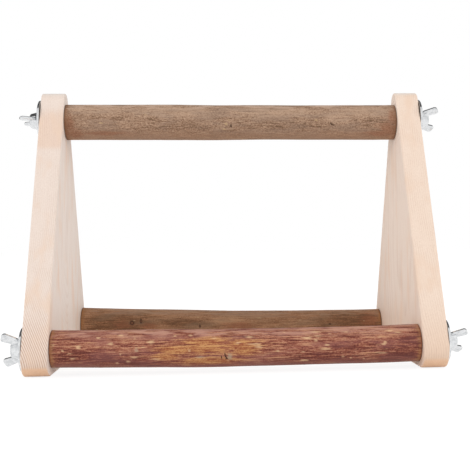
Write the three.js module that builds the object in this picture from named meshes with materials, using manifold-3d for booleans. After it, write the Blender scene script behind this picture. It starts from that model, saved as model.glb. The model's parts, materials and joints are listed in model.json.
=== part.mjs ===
// Parrot play stand: two wooden side panels carry three natural branch perches.
// Each perch end holds a hanger bolt that passes through its panel and is clamped
// by a large washer and a wing nut.
//
// Units are millimetres. +X runs along the perches to the right, +Y to the rear and
// +Z up. The origin is on the floor, under the middle of the stand.

import * as THREE from "three";
import { mergeVertices } from "three/addons/utils/BufferGeometryUtils.js";
import Module from "manifold-3d";

const wasm = await Module();
wasm.setup();

// ---- Driving dimensions ------------------------------------------------------

const panelGap = 237;                // clear width between the two side panels
const panelThickness = 16.5;
const panelHeight = 191;
const panelBaseWidth = 174.4;        // between the bottom corners before rounding
const crownRadius = 8.5;             // round top of a panel
const footRadius = 12.5;             // bottom corners of a panel
const arris = 1;                     // softened edge all round a panel

const topAxisDrop = 19.4;            // top bolt axis below the top of the panels
const lowerAxisHeight = 16.5;        // lower bolt axes above the floor
const lowerAxisInset = 22.8;         // lower bolt axes in from the bottom corners

const boltDiameter = 6;
const boltOutreach = 9.2;            // bolt end beyond the outer face of its panel
const boltEmbedment = 24;            // wood thread inside the perch
const boltTipDiameter = 2;
const woodThreadPitch = 3;
const woodThreadDepth = 0.9;
const boltChamfer = 0.6;

const washerDiameter = 28.6;
const washerThickness = 1.6;
const washerEdge = 0.25;             // rounded rim of the pressed washer

const nutHubHeight = 6.5;
const nutBaseDiameter = 13;
const nutTopDiameter = 10;
const nutCollarHeight = 1.6;
const wingSpan = 26;
const wingHeight = 13.4;
const wingThickness = 2.2;
const wingRootHeight = 1.2;
const wingRootSpan = 16.4;
const wingInnerSpan = 14;            // distance between the wings at their tips
const wingTipDrop = 2.6;             // outer tip corner below the inner one
const wingTipFillet = 2;
const wingRootFillet = 1.6;

const seatGap = 0.3;                 // between pieces that touch on the real stand
const panelHoleClearance = 0.5;      // round each bolt in its panel
const boreClearance = 0.3;           // round each bolt in washer, nut and perch
const cutOverrun = 1;                // how far a cut reaches past the face it opens

const perchRimRadius = 0.8;          // worn edge round each cut end of a perch
const perchSides = 24;
const perchStations = 18;
const roundSides = 20;
const boltSides = 12;
const arcSteps = 8;

// Branches are never true. "Rise" is the height of the wood's centre above its bolt
// axis at an end, "sag" and "sway" bend the middle down and to the rear.
const topLeftRadius = 12.6;
const topRightRadius = 12.5;
const topLeftRise = -1;
const topRightRise = -2;
const topSag = 0;
const topSway = 0.8;

const frontLeftRadius = 12;
const frontRightRadius = 12.1;
const frontLeftRise = 0.2;
const frontRightRise = -0.9;
const frontSag = 1.1;
const frontSway = -0.6;

const rearLeftRadius = 13.6;
const rearRightRadius = 12.1;
const rearLeftRise = 3;
const rearRightRise = -1.1;
const rearSag = 1.8;
const rearSway = 1;

const barkSwell = 0.22;              // height of the slow, middle and quick bark waves
const barkRidge = 0.16;
const barkRipple = 0.1;

// Turn of each wing nut at rest, from upright towards the rear.
const nutTurnDegrees = {
  top_left: 95,
  top_right: 126,
  front_left: 154,
  front_right: 133,
  rear_left: 20,
  rear_right: 118,
};

// ---- Sizes that follow -------------------------------------------------------

const perches = [
  {
    name: "top",
    radius: [topLeftRadius, topRightRadius],
    rise: [topLeftRise, topRightRise],
    sag: topSag,
    sway: topSway,
    phase: 0.4,
  },
  {
    name: "front",
    radius: [frontLeftRadius, frontRightRadius],
    rise: [frontLeftRise, frontRightRise],
    sag: frontSag,
    sway: frontSway,
    phase: 2.1,
  },
  {
    name: "rear",
    radius: [rearLeftRadius, rearRightRadius],
    rise: [rearLeftRise, rearRightRise],
    sag: rearSag,
    sway: rearSway,
    phase: 4,
  },
];
const barkWaves = [                  // height, waves round the wood, waves along it
  [barkSwell, 2, 1.5],
  [barkRidge, 3, -2.5],
  [barkRipple, 5, 4],
];

const topAxisHeight = panelHeight - topAxisDrop;
const boltRadius = boltDiameter / 2;
const panelHoleRadius = boltRadius + panelHoleClearance;
const boreRadius = boltRadius + boreClearance;
const perchHalfLength = panelGap / 2 - seatGap;
const outerFace = panelGap / 2 + panelThickness;
const washerSeat = outerFace + seatGap;
const nutSeat = washerSeat + washerThickness + seatGap;
const pilotDepth = boltEmbedment + seatGap;
const baseHalfWidth = panelBaseWidth / 2;
const lowerAxisOffset = baseHalfWidth - lowerAxisInset;

const axes = {
  top: [0, topAxisHeight],
  front: [-lowerAxisOffset, lowerAxisHeight],
  rear: [lowerAxisOffset, lowerAxisHeight],
};

// ---- Materials ---------------------------------------------------------------

function finish(color, roughness, metalness = 0) {
  return new THREE.MeshStandardMaterial({ color, roughness, metalness });
}

const barkColors = { top: 0x967860, front: 0x9c5540, rear: 0x8c694b };

// ---- Helpers -----------------------------------------------------------------

function addMesh(group, name, geometry, material) {
  const mesh = new THREE.Mesh(geometry, material);
  mesh.name = name;
  group.add(mesh);
  return mesh;
}

// Turns a shape drawn in a plane to lie across the stand: its x runs to the rear,
// its y up and its depth along the perches.
function acrossStand(geometry) {
  const toRear = new THREE.Vector3(0, 1, 0);
  const up = new THREE.Vector3(0, 0, 1);
  const toRight = new THREE.Vector3(1, 0, 0);
  return geometry.applyMatrix4(new THREE.Matrix4().makeBasis(toRear, up, toRight));
}

// Turns a lathed piece from the Y axis onto +X, with its foot at x = 0.
function alongX(geometry) {
  return geometry.rotateZ(-Math.PI / 2);
}

function solidOf(geometry) {
  const bare = geometry.clone();
  bare.deleteAttribute("normal");
  bare.deleteAttribute("uv");
  const merged = mergeVertices(bare, 1e-4);
  return new wasm.Manifold(new wasm.Mesh({
    numProp: 3,
    vertProperties: new Float32Array(merged.attributes.position.array),
    triVerts: new Uint32Array(merged.index.array),
  }));
}

function geometryOf(solid) {
  const mesh = solid.getMesh();
  const geometry = new THREE.BufferGeometry();
  geometry.setAttribute("position", new THREE.BufferAttribute(mesh.vertProperties, 3));
  geometry.setIndex(new THREE.BufferAttribute(mesh.triVerts, 1));
  geometry.computeVertexNormals();
  return geometry;
}

// Points of the arc that rounds the corner between two straight lines.
function roundCorner(before, corner, after, radius) {
  const toBefore = before.clone().sub(corner).normalize();
  const toAfter = after.clone().sub(corner).normalize();
  const halfAngle = Math.acos(toBefore.dot(toAfter)) / 2;
  const bisector = toBefore.clone().add(toAfter).normalize();
  const centre = corner.clone().addScaledVector(bisector, radius / Math.sin(halfAngle));
  const reach = radius / Math.tan(halfAngle);
  const start = corner.clone().addScaledVector(toBefore, reach).sub(centre);
  const end = corner.clone().addScaledVector(toAfter, reach).sub(centre);
  const turn = Math.atan2(start.cross(end), start.dot(end));
  const points = [];
  for (let i = 0; i <= arcSteps; i += 1) {
    const point = start.clone().rotateAround(new THREE.Vector2(), (turn * i) / arcSteps);
    points.push(point.add(centre));
  }
  return points;
}

// A closed outline from corners, each rounded to its own radius where it has one.
function roundedOutline(corners) {
  return corners.flatMap(({ at, radius }, i) => {
    if (!radius) return [at];
    const before = corners.at(i - 1).at;
    const after = corners[(i + 1) % corners.length].at;
    return roundCorner(before, at, after, radius);
  });
}

// ---- Side panels -------------------------------------------------------------

// The panel is seen from the right: x is towards the rear and y is up. Its slanted sides
// touch the round crown, and would meet at the apex above it.
function panelShape() {
  const crownCentre = new THREE.Vector2(0, panelHeight - crownRadius);
  const rearFoot = new THREE.Vector2(baseHalfWidth, 0);
  const toCrown = rearFoot.distanceTo(crownCentre);
  const slant = Math.atan2(crownCentre.y, baseHalfWidth) + Math.asin(crownRadius / toCrown);
  return new THREE.Shape(roundedOutline([
    { at: new THREE.Vector2(-baseHalfWidth, 0), radius: footRadius },
    { at: rearFoot, radius: footRadius },
    { at: new THREE.Vector2(0, baseHalfWidth * Math.tan(slant)), radius: crownRadius },
  ]));
}

function panelGeometry() {
  const shape = panelShape();
  for (const [y, z] of Object.values(axes)) {
    const hole = new THREE.Path().absarc(y, z, panelHoleRadius, 0, 2 * Math.PI, true);
    shape.holes.push(new THREE.Path(hole.getPoints(roundSides).slice(0, -1)));
  }
  const geometry = new THREE.ExtrudeGeometry(shape, {
    depth: panelThickness - 2 * arris,
    bevelThickness: arris,
    bevelSize: arris,
    bevelOffset: -arris,
    bevelSegments: 1,
  });
  return acrossStand(geometry.translate(0, 0, arris));
}

function addPanels(group) {
  const wood = finish(0xead6c4, 0.62);
  addMesh(group, "left_side_panel", panelGeometry(), wood).position.x = -outerFace;
  addMesh(group, "right_side_panel", panelGeometry(), wood.clone()).position.x = panelGap / 2;
}

// ---- Perches -----------------------------------------------------------------

function barkHeight(perch, share, angle) {
  return barkWaves.reduce((sum, [size, around, along]) => {
    const wave = around * angle + 2 * Math.PI * along * share + perch.phase * (around + along);
    return sum + size * Math.sin(wave);
  }, 0);
}

// One ring of the branch at a share of its length, drawn in by "inset" at the rims.
function perchRing(perch, x, inset) {
  const share = (x + perchHalfLength) / (2 * perchHalfLength);
  const bend = Math.sin(Math.PI * share);
  const radius = THREE.MathUtils.lerp(...perch.radius, share) - inset;
  const centreY = perch.sway * bend;
  const centreZ = THREE.MathUtils.lerp(...perch.rise, share) - perch.sag * bend;
  const ring = [];
  for (let i = 0; i < perchSides; i += 1) {
    const angle = (2 * Math.PI * i) / perchSides;
    const reach = radius + barkHeight(perch, share, angle);
    ring.push(x, centreY + reach * Math.cos(angle), centreZ + reach * Math.sin(angle));
  }
  return ring;
}

function perchSurface(perch) {
  const rings = [perchRing(perch, -perchHalfLength, perchRimRadius)];
  for (let i = 0; i <= perchStations; i += 1) {
    const reach = perchHalfLength - perchRimRadius;
    rings.push(perchRing(perch, THREE.MathUtils.lerp(-reach, reach, i / perchStations), 0));
  }
  rings.push(perchRing(perch, perchHalfLength, perchRimRadius));

  const positions = rings.flat();
  const triangles = [];
  for (let r = 0; r + 1 < rings.length; r += 1) {
    for (let i = 0; i < perchSides; i += 1) {
      const a = r * perchSides + i;
      const b = r * perchSides + ((i + 1) % perchSides);
      triangles.push(a, b, a + perchSides, b, b + perchSides, a + perchSides);
    }
  }
  const last = (rings.length - 1) * perchSides;
  for (let i = 1; i + 1 < perchSides; i += 1) {
    triangles.push(0, i + 1, i, last, last + i, last + i + 1);
  }
  const geometry = new THREE.BufferGeometry();
  geometry.setAttribute("position", new THREE.Float32BufferAttribute(positions, 3));
  geometry.setIndex(triangles);
  return geometry;
}

// A branch with a blind pilot hole for a hanger bolt in each end.
function perchGeometry(perch) {
  const length = pilotDepth + cutOverrun;
  let wood = solidOf(perchSurface(perch));
  for (const side of [-1, 1]) {
    const pilot = new THREE.CylinderGeometry(boreRadius, boreRadius, length, roundSides);
    pilot.rotateZ(Math.PI / 2);
    pilot.translate(side * (perchHalfLength + cutOverrun - length / 2), 0, 0);
    wood = wood.subtract(solidOf(pilot));
  }
  return geometryOf(wood);
}

// ---- Hanger bolts, washers and wing nuts, each built outwards along +X ---------

// The wood thread is a row of sharp ridges on a shank that narrows to its tip. The
// foot is the tip inside the perch, and the far end stands clear of the wing nut.
function hangerBoltGeometry() {
  const woodEnd = boltEmbedment;
  const length = woodEnd + seatGap + panelThickness + boltOutreach;
  const profile = [new THREE.Vector2(0, 0), new THREE.Vector2(boltTipDiameter / 2, 0)];
  const ridges = Math.floor(woodEnd / woodThreadPitch) - 1;
  for (let i = 1; i <= ridges; i += 1) {
    const crest = i * woodThreadPitch;
    const full = THREE.MathUtils.lerp(boltTipDiameter / 2, boltRadius, Math.min(1, (2 * i) / ridges));
    const root = Math.max(full - woodThreadDepth, boltTipDiameter / 2);
    profile.push(new THREE.Vector2(root, crest - woodThreadPitch / 2));
    profile.push(new THREE.Vector2(full, crest));
  }
  profile.push(new THREE.Vector2(boltRadius, woodEnd));
  profile.push(new THREE.Vector2(boltRadius, length - boltChamfer));
  profile.push(new THREE.Vector2(boltRadius - boltChamfer, length));
  profile.push(new THREE.Vector2(0, length));
  return alongX(new THREE.LatheGeometry(profile, boltSides));
}

function washerGeometry() {
  const outer = washerDiameter / 2;
  const profile = [
    [boreRadius, 0],
    [outer - washerEdge, 0],
    [outer, washerEdge],
    [outer, washerThickness - washerEdge],
    [outer - washerEdge, washerThickness],
    [boreRadius, washerThickness],
    [boreRadius, 0],
  ].map(([r, h]) => new THREE.Vector2(r, h));
  return alongX(new THREE.LatheGeometry(profile, roundSides));
}

function nutHub() {
  const profile = [
    [0, 0],
    [nutBaseDiameter / 2, 0],
    [nutBaseDiameter / 2, nutCollarHeight],
    [nutTopDiameter / 2, nutHubHeight],
    [0, nutHubHeight],
  ].map(([r, h]) => new THREE.Vector2(r, h));
  return alongX(new THREE.LatheGeometry(profile, roundSides));
}

// One wing, drawn with x as its reach from the axis and y as its height.
function nutWing() {
  const corners = [
    { at: [0, wingRootHeight] },
    { at: [wingRootSpan / 2, wingRootHeight], radius: wingRootFillet },
    { at: [wingSpan / 2, wingHeight - wingTipDrop], radius: wingTipFillet },
    { at: [wingInnerSpan / 2, wingHeight], radius: wingTipFillet },
    { at: [nutTopDiameter / 2, nutHubHeight - nutCollarHeight] },
    { at: [0, nutHubHeight - nutCollarHeight] },
  ].map(({ at, radius }) => ({ at: new THREE.Vector2(...at), radius }));
  const wing = new THREE.ExtrudeGeometry(new THREE.Shape(roundedOutline(corners)), {
    depth: wingThickness,
    bevelEnabled: false,
  });
  wing.translate(0, 0, -wingThickness / 2);
  const reach = new THREE.Vector3(0, 0, 1);
  const height = new THREE.Vector3(1, 0, 0);
  const across = new THREE.Vector3(0, 1, 0);
  return wing.applyMatrix4(new THREE.Matrix4().makeBasis(reach, height, across));
}

function wingNutGeometry() {
  const bore = new THREE.CylinderGeometry(boreRadius, boreRadius, 3 * nutHubHeight, roundSides);
  const nut = solidOf(nutHub())
    .add(solidOf(nutWing()))
    .add(solidOf(nutWing().rotateX(Math.PI)))
    .subtract(solidOf(bore.rotateZ(Math.PI / 2)));
  return geometryOf(nut);
}

// ---- Assembly ----------------------------------------------------------------

function addPerch(group, perch) {
  const [y, z] = axes[perch.name];
  const perchGroup = new THREE.Group();
  perchGroup.position.set(0, y, z);
  const bark = finish(barkColors[perch.name], 0.85);
  addMesh(perchGroup, `${perch.name}_perch`, perchGeometry(perch), bark);
  for (const side of ["left", "right"]) {
    addClamp(perchGroup, `${perch.name}_${side}`, side);
  }
  group.add(perchGroup);
}

// The bolt, washer and wing nut at one end of a perch, turned to face outwards.
function addClamp(perchGroup, name, side) {
  const zinc = finish(0xc9ccd0, 0.32, 0.9);
  const clamp = new THREE.Group();
  clamp.rotation.z = side === "left" ? Math.PI : 0;
  const bolt = addMesh(clamp, `${name}_hanger_bolt`, hangerBoltGeometry(), zinc);
  bolt.position.x = perchHalfLength - boltEmbedment;
  const washer = addMesh(clamp, `${name}_washer`, washerGeometry(), zinc.clone());
  washer.position.x = washerSeat;
  const nut = addMesh(clamp, `${name}_wing_nut`, wingNutGeometry(), zinc.clone());
  nut.position.x = nutSeat;
  const turn = THREE.MathUtils.degToRad(nutTurnDegrees[name]);
  nut.rotation.x = side === "left" ? turn : -turn;
  perchGroup.add(clamp);
}

const stand = new THREE.Group();
addPanels(stand);
perches.forEach((perch) => addPerch(stand, perch));

export default stand;
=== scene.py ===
"""Looks of the parrot play stand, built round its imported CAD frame.

Every CAD node is replaced by a piece with the detail of the real one: pine boards with
their growth lines, three branches with their bark, hanger bolts with both threads,
pressed washers and cast wing nuts. Lengths are metres. +X runs along the perches to the
right, +Y to the rear and +Z up.
"""

import json
import math
import random

import bmesh
import bpy
import numpy as np
from mathutils import Matrix, Vector, noise
from mathutils.geometry import delaunay_2d_cdt


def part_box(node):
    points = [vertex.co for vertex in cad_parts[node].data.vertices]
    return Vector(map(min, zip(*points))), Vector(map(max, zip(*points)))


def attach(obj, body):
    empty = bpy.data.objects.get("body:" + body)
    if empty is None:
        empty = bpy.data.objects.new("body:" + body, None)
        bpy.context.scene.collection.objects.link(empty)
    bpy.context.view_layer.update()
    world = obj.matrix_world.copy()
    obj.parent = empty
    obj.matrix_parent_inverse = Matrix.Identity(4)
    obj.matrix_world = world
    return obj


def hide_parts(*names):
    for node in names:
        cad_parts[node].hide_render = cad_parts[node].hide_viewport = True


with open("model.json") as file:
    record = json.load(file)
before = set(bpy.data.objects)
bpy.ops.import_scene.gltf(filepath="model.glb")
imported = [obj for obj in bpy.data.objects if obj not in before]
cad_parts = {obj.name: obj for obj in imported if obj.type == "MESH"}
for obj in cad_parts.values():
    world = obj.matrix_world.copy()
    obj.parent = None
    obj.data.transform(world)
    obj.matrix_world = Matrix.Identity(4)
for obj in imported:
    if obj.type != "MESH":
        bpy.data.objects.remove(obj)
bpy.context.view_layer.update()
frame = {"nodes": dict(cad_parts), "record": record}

MM = 0.001
SIDES = {"left": -1, "right": 1}
BODY_OF = {
    node: body
    for body, nodes in frame["record"]["behaviour"]["bodies"].items()
    for node in nodes
}

# ---- Camera and light ----

CAMERA_PLACE = Vector((-15.83 * MM, -608.4 * MM, 83.1 * MM))
CAMERA_YAW = -0.0667         # radians, turned to the left of +Y where positive
CAMERA_PITCH = 0.0082
CAMERA_ROLL = 0.0134
CAMERA_SENSOR = 36           # width in millimetres
CAMERA_LENS = 64.28          # millimetres
CAMERA_SHIFT = -0.0698       # the photograph is cropped a little off centre

AMBIENT = 0.75               # light from all round, as a share of full white
KEY_PLACES = [Vector((-1.6, -0.8, 0.6)), Vector((1.6, -0.8, 0.6))]
KEY_AIM = Vector((0, 0, 0.09))
KEY_SIZE = 1.0
KEY_POWER = 8.5
FLOOR_HALF = 6
FLOOR_DROP = 0.2 * MM        # keeps the floor from touching the boards' feet
FLOOR_GLOW = 0.86            # the share of the floor's white that takes no shadow
FLOOR_CATCH = 0.24           # the share that does
FLOOR_WHITE = 0.92           # how much light the floor gives back to the stand

# Dark cards outside the picture, three behind the stand and one over it. Only glossy rays
# see them, which gives the plated metal its dark edges.
CARD_DISTANCE = 1.0          # from the stand to the cards behind it
CARD_INNER = 0.32            # half the width of the gap between the side cards
CARD_OUTER = 1.5             # how far the cards reach to the sides, up and back
CARD_FOOT = 0.05             # height of the side cards' lower edge
CARD_GAP_TOP = 1.2 * CARD_INNER  # height of the lower edge of the card over the gap
CARD_OVERHEAD = 1.1          # height of the card over the stand
CARD_OVERHEAD_FRONT = -0.3   # y of its front edge
CARD_GREY = 0.12

# ---- Sizes of the pieces ----

FLAT_MARGIN = 1.3            # a flat face starts this many roundings in from an edge

BASE_HALF_WIDTH = 87.2 * MM
CROWN_RADIUS = 8.5 * MM      # round top of a board
FOOT_RADIUS = 12.5 * MM      # bottom corners of a board
ARRIS = 1 * MM
ARRIS_STEPS = 4
OUTLINE_STEP = 2 * MM
PANEL_HOLE_RADIUS = 3.5 * MM
HOLE_CHAMFER = 0.3 * MM
HOLE_SIDES = 48

BORE_RADIUS = 3.3 * MM
PILOT_DEPTH = 24.3 * MM

MACHINE_RADIUS = 3 * MM
MACHINE_PITCH = 1 * MM
MACHINE_DEPTH = 0.61 * MM
MACHINE_STEPS = 6            # rings for each turn of the thread
WOOD_THREAD_LENGTH = 22 * MM
WOOD_PITCH = 3 * MM
WOOD_DEPTH = 0.9 * MM
WOOD_STEPS = 10
WOOD_FLANK = (1.8, 0.8)      # steepness of the thread's flanks, width of its root
MACHINE_FLANK = (1.3, 0.1)
TIP_RADIUS = 1 * MM
BOLT_CHAMFER = 0.6 * MM
BOLT_LAST_GAP = 0.1 * MM     # least distance of the last thread ring from the end
BOLT_SIDES = 24

WASHER_RIM = 0.45 * MM
WASHER_RIM_STEPS = 4
WASHER_CHAMFER = 0.15 * MM
WASHER_SIDES = 96

NUT_HUB_HEIGHT = 6.5 * MM
NUT_BASE_RADIUS = 6.5 * MM
NUT_TOP_RADIUS = 5 * MM
NUT_COLLAR = 1.6 * MM        # height of the foot under the tapering hub
NUT_CHAMFER = 0.4 * MM
NUT_SHOULDER = 0.5 * MM      # step in over the collar, and rounding of the top
NUT_SHOULDER_RISE = 0.3 * MM
NUT_TOP_SWELL = 0.05 * MM
NUT_SIDES = 64
WING_REACH = 13 * MM
WING_HEIGHT = 13.4 * MM
WING_THICKNESS = 2.2 * MM
WING_ROOT_HEIGHT = 1.2 * MM
WING_ROOT_REACH = 8.2 * MM
WING_INNER_REACH = 7 * MM
WING_TIP_DROP = 2.6 * MM
WING_IN_HUB = (4.2 * MM, 4.6 * MM)  # where its lower and upper edge end, inside the hub
WING_HUB_DROP = 1.2 * MM     # of the upper edge's end below the top of the hub
WING_TIP_ROUNDING = 2.3 * MM
WING_ROOT_ROUNDING = 1.5 * MM
WING_EDGE_ROUNDING = 0.7 * MM
WING_RIM = 1.5 * MM          # width of the raised rim round each wing
WING_RIM_FLAT = 0.25 * WING_RIM
WING_RIM_SLOPE = 0.6 * WING_RIM
WING_DISH = 0.3 * MM         # depth of the wing's face inside the rim
SAME_POINT = 0.01 * MM
NUT_VOXEL = 0.32 * MM        # the nut is cast into one skin of this fineness
NUT_SOFTENING = 5            # rounds of smoothing, which round its inner corners

# The branches' own shapes, as in the CAD, in millimetres: radius and height of the wood's
# centre above the bolt axis at the left and right end, the bend of the middle down and
# rearwards, and where the slow waves round the branch start.
BRANCHES = {
    "top": {"radius": (12.6, 12.5), "rise": (-1, -2), "sag": 0, "sway": 0.8, "phase": 0.4},
    "front": {"radius": (12, 12.1), "rise": (0.2, -0.9), "sag": 1.1, "sway": -0.6, "phase": 2.1},
    "rear": {"radius": (13.6, 12.1), "rise": (3, -1.1), "sag": 1.8, "sway": 1, "phase": 4},
}
# Slow waves of the wood: height in mm, and how many go round it and along it.
BARK_WAVES = [(0.11, 2, 1.5), (0.08, 3, -2.5), (0.05, 5, 4)]
# Relief of the bark: length and width in mm of its lumps, ridges and pits, and the height
# of lumps and pits. That of the ridges is each bark's own.
LUMP_SIZE = (24, 9)
RIDGE_SIZE = (15, 2.3)
PIT_SIZE = (3.2, 2.0)
LUMP_HEIGHT = 0.08
PIT_HEIGHT = 0.03
KNOT_DEPTH = 0.4 * MM
FLECK_HEIGHT = 0.08 * MM
BRANCH_STATIONS = 320
BRANCH_SIDES = 112
RIM_STEPS = 3
RIM_WEAR = (0.3 * MM, 0.75 * MM)  # least and most rounding of a branch's cut edge
RIM_WEAR_SPREAD = 2          # how fast the rounding changes round the edge
RIM_TINT = 3.2 * MM          # how far the bare wood's colour reaches in from a cut
CUT_FADE = (0.75, 0.5)       # end grain left on the first two rings of the rounding

# Small flecks strewn over a bark besides the placed ones, sizes and places in mm.
FLECK_COUNTS = {"front": 34, "top": 10, "rear": 12}
FLECK_LENGTHS = (1.4, 4.5)
FLECK_WIDTHS = (0.7, 1.4)
FLECK_SPREAD = 114
FIRST_BARK_SEED = 4.5
BARK_SEED_STEP = 5

# Marks in the bark, placed after the photograph: place along the branch in mm,
# angle round it in degrees (90 is the top, 180 faces the camera), length and width in mm.
MARKS = {
    "front": {
        "fleck": [
            (-88, 139, 3, 2), (-74, 129, 4, 1.8), (-65, 141, 2.4, 2.4), (-80, 158, 4, 2.2),
            (-100, 169, 4, 3.2), (-115.5, 163, 3, 1.4), (-109.7, 180, 2, 1.7),
            (-103.6, -157, 4.6, 1.8), (-55, 154, 6.4, 3), (-74, -170, 1.7, 1.4),
            (-65.7, -160, 6.4, 1.8), (-69.5, -144, 3.2, 1.8), (-76.3, -137, 2.6, 2),
            (-30.2, 131, 2.8, 1.8), (-30.8, -179, 2.4, 2), (-15.4, 143, 5, 1.2),
            (-52, -153, 8, 1.3), (10.6, 163, 9.5, 1.6), (13, 172, 7, 1.5),
            (44, 147, 9, 2.2), (51, 142, 6, 2), (49.6, 155, 3.4, 2.4), (56.5, 171, 4, 1.4),
            (55, -177, 11, 1.5), (25.2, -174, 1.8, 1.7), (42.6, -140, 8, 2.2),
            (98, 130, 7, 2.4), (103, 138, 5.6, 1.8), (80.6, -139, 1.8, 2), (69.5, 130, 5.4, 1.5),
            (91.4, -160, 9.4, 1.3), (7, 140, 8, 1.6), (0, 159, 4, 1.4), (50, 126, 8, 1.4),
        ],
        "warm": [
            (-20, 155, 40, 7), (1, 165, 32, 9), (-40, 178, 30, 6), (-21, 176, 42, 8),
            (-46, -161, 20, 5), (-18, -144, 44, 6), (4, -179, 18, 8),
        ],
        # Shade marks: darker bark, and at the branch ends beside the boards painted shade.
        "shade": [
            (-102, -165, 32, 12), (-84, -148, 42, 9), (-56, -134, 44, 5), (101, -146, 36, 14),
            (110, -178, 16, 16), (70, 180, 40, 6), (52, -146, 44, 8),
        ],
        # Light marks: paler bark, and along the upper front painted light from above.
        "light": [(-64, 177, 3.6, 3.6), (-24, -159, 8, 2.6), (8, -144, 18, 3), (90, -175, 5, 3),
                  (99, -164, 5, 2.4), (95, 132, 44, 5), (-80, 133, 40, 3), (-60, 112, 40, 2),
                  (-15, 118, 36, 2), (22, 110, 30, 2), (52, 116, 34, 2.4), (80, 108, 40, 2)],
        "grey": [(-5.6, -157, 3.6, 5.6), (-64, 177, 2.8, 2.8), (-24, -159, 7, 1.8)],
        "knot": [(-8.4, -165, 1, 3), (-8, -158, 1.1, 2.6), (-7.2, -152, 1.6, 1.4),
                 (-10.6, -157, 0.8, 2.6)],
    },
    "top": {
        "fleck": [(-4.7, -167, 2.8, 2), (-6.1, -151, 2.8, 1.5), (-2.5, 180, 2.2, 1.4)],
        "warm": [
            (-117.5, -136, 9, 9), (-110.6, -130, 12, 9), (-90, -134, 34, 4.5),
            (112, -150, 13, 14), (114.7, 173, 6, 15), (106, -132, 24, 6), (-115, -170, 8, 12),
        ],
        # Shade marks: darker bark, and at the branch ends beside the boards painted shade.
        "shade": [(-114, -167, 9, 11), (-37, -154, 54, 7), (41, -161, 48, 7), (-5, -136, 32, 5),
                  (100, -168, 20, 8)],
        "grey": [],
        # Light marks: paler bark, and along the upper front painted light from above.
        "light": [(75, 170, 20, 10), (-93, 144, 46, 9), (-42, 150, 60, 11), (30, 150, 70, 10),
                  (92, 150, 50, 10)],
        "knot": [(-1.2, -161, 1.2, 3), (72, -164, 2.8, 1), (70.5, -169, 1.1, 1.6)],
    },
    "rear": {
        "fleck": [(-77, 158, 3.9, 0.9), (21, 143, 5, 1.1), (53, 153, 4, 1)],
        "warm": [(-86, 173, 16, 6), (-65, 174, 14, 6), (5, 173, 26, 6), (108, 160, 16, 16)],
        # Shade marks: darker bark, and over both ends beside the boards painted shade.
        "shade": [(-40, 160, 40, 8), (-90, 165, 60, 24), (92, 165, 56, 24)],
        "grey": [],
        "light": [(-5, 150, 30, 6)],
        "knot": [(-78.7, 165, 4.2, 4), (-71.8, 158, 2.2, 4.4), (-26, 173, 1.6, 3),
                 (76.8, 170, 2.4, 1.6)],
    },
}


# ---- Small helpers ----

def shade(code):
    """A colour written as on a screen, such as "b5766a", in Blender's linear values."""
    parts = [int(code[i:i + 2], 16) / 255 for i in (0, 2, 4)]
    linear = [c / 12.92 if c <= 0.04045 else ((c + 0.055) / 1.055) ** 2.4 for c in parts]
    return (*linear, 1)


def lerp(pair, share):
    """The value this share of the way from the first of a pair to the second."""
    return pair[0] + (pair[1] - pair[0]) * share


def linked(name, data):
    """A new object in the scene with this mesh, lamp or camera."""
    obj = bpy.data.objects.new(name, data)
    bpy.context.scene.collection.objects.link(obj)
    return obj


def new_object(name, vertices, faces, material, sharp_angle=None):
    """A mesh object with outward normals, smooth but for edges over the sharp angle."""
    mesh = bpy.data.meshes.new(name)
    mesh.from_pydata(np.asarray(vertices).tolist(), [], faces)
    shell = bmesh.new()
    shell.from_mesh(mesh)
    bmesh.ops.recalc_face_normals(shell, faces=shell.faces)
    shell.to_mesh(mesh)
    shell.free()
    mesh.shade_smooth()
    if sharp_angle is not None:
        mesh.set_sharp_from_angle(angle=math.radians(sharp_angle))
    mesh.materials.append(material)
    return linked(name, mesh)


def stand_for(obj, node):
    """Lets a piece take the place of a CAD node, on that node's body."""
    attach(obj, BODY_OF[node])
    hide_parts(node)


def bolt_axis(branch, side):
    """The (y, z) of a hanger bolt's axis."""
    low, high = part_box(f"{branch}_{side}_washer")
    return np.array([(low[1] + high[1]) / 2, (low[2] + high[2]) / 2])


def loft_faces(count, sides, ring_closed=False, first=0):
    """Quads between rings of equally many points, the last ring joined to the first if asked."""
    faces = []
    for r in range(count if ring_closed else count - 1):
        here = first + r * sides
        there = first + ((r + 1) % count) * sides
        for i in range(sides):
            j = (i + 1) % sides
            faces.append((here + i, here + j, there + j, there + i))
    return faces


def end_caps(count, sides):
    """The first and last of so many rings, each as one face."""
    return [tuple(range(sides)), tuple(range((count - 1) * sides, count * sides))]


def lathe(profile, sides):
    """Rings of points about the X axis from pairs of place along it and radius."""
    angles = np.arange(sides) * 2 * math.pi / sides
    rings = [
        np.stack([np.full(sides, x), r * np.cos(angles), r * np.sin(angles)], axis=1)
        for x, r in profile
    ]
    return np.concatenate(rings)


# ---- Node trees ----

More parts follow.
